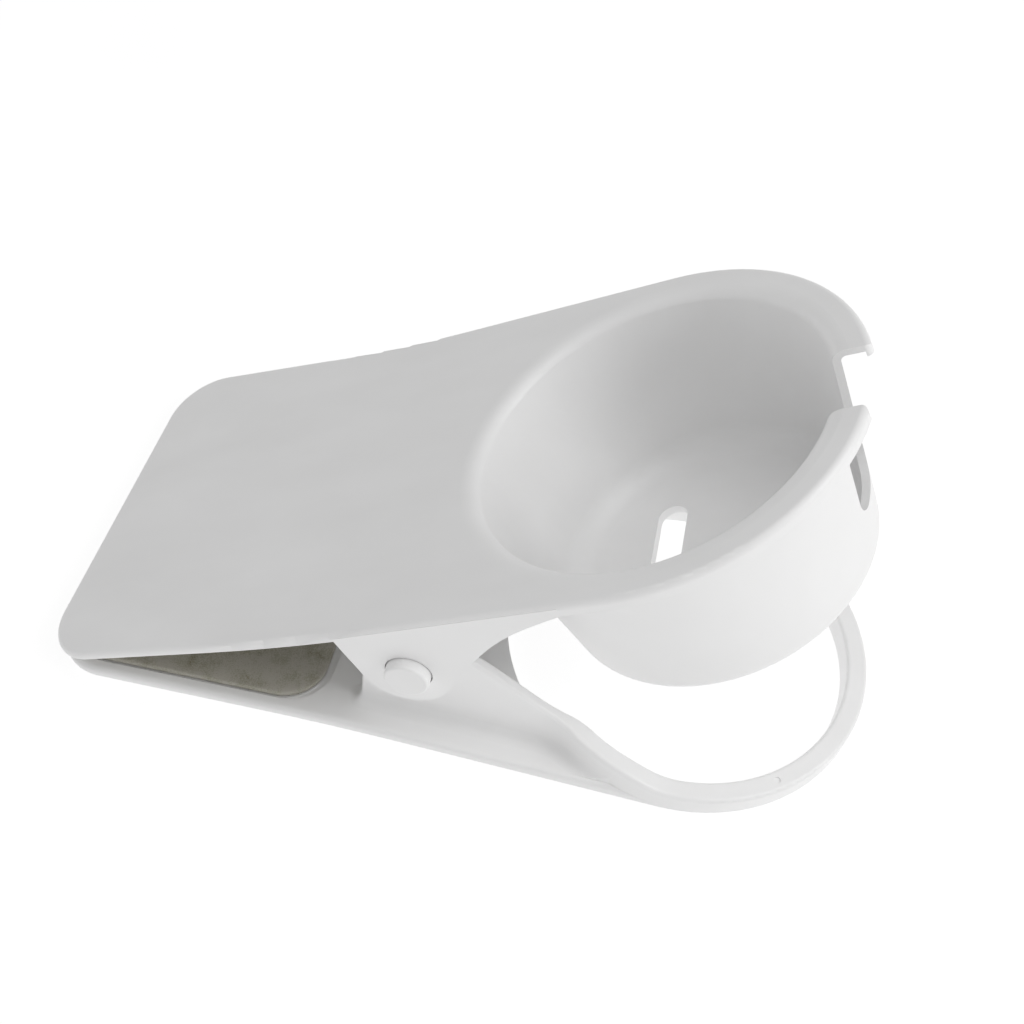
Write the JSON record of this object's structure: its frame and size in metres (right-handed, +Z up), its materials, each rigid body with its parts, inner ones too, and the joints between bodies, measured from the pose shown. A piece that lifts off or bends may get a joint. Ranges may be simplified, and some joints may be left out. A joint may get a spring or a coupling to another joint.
{
  "type": "desk clamp cup holder",
  "caption": "Spring clip that grips a desk edge between padded jaws and holds a drink in the cup on its upper jaw, with a finger ring below.",
  "frame": {"origin": "centre of the bounding box on the plane the lower jaw stands on", "axes": "+X from the jaw tip towards the cup, +Y along the hinge pin, +Z up; the jaws are shut at rest"},
  "size_m": [0.2196, 0.1136, 0.1154],
  "materials": {
    "white_plastic": "satin, finely grained moulded surface",
    "cap_plastic": "smooth moulded",
    "pad_foam": "matte mottled foam rubber",
    "tape": "matte adhesive film",
    "spring_steel": "drawn wire, lightly oiled",
    "rod_steel": "bright drawn",
    "bobbin_plastic": "natural nylon"
  },
  "bodies": {
    "lower_clamp": {"lower_jaw": "white_plastic", "lower_pad": "pad_foam", "lower_pad_tape": "tape", "axle_rod": "rod_steel", "near_pin_cap": "cap_plastic", "far_pin_cap": "cap_plastic", "near_torsion_spring": "spring_steel", "far_torsion_spring": "spring_steel", "near_spring_bobbin": "bobbin_plastic", "far_spring_bobbin": "bobbin_plastic"},
    "upper_clamp": {"upper_jaw": "white_plastic", "upper_pad": "pad_foam", "upper_pad_tape": "tape"}
  },
  "joints": [
    {"name": "jaw_hinge", "type": "hinge", "parent": "lower_clamp", "child": "upper_clamp", "pos_m": [-0.00926, 0, 0.04204], "axis": [0, 1, 0], "range_deg": [0, 28], "stiffness_Nm_per_rad": 1, "springref_deg": -80.21, "deforming": ["near_torsion_spring", "far_torsion_spring"]}
  ]
}
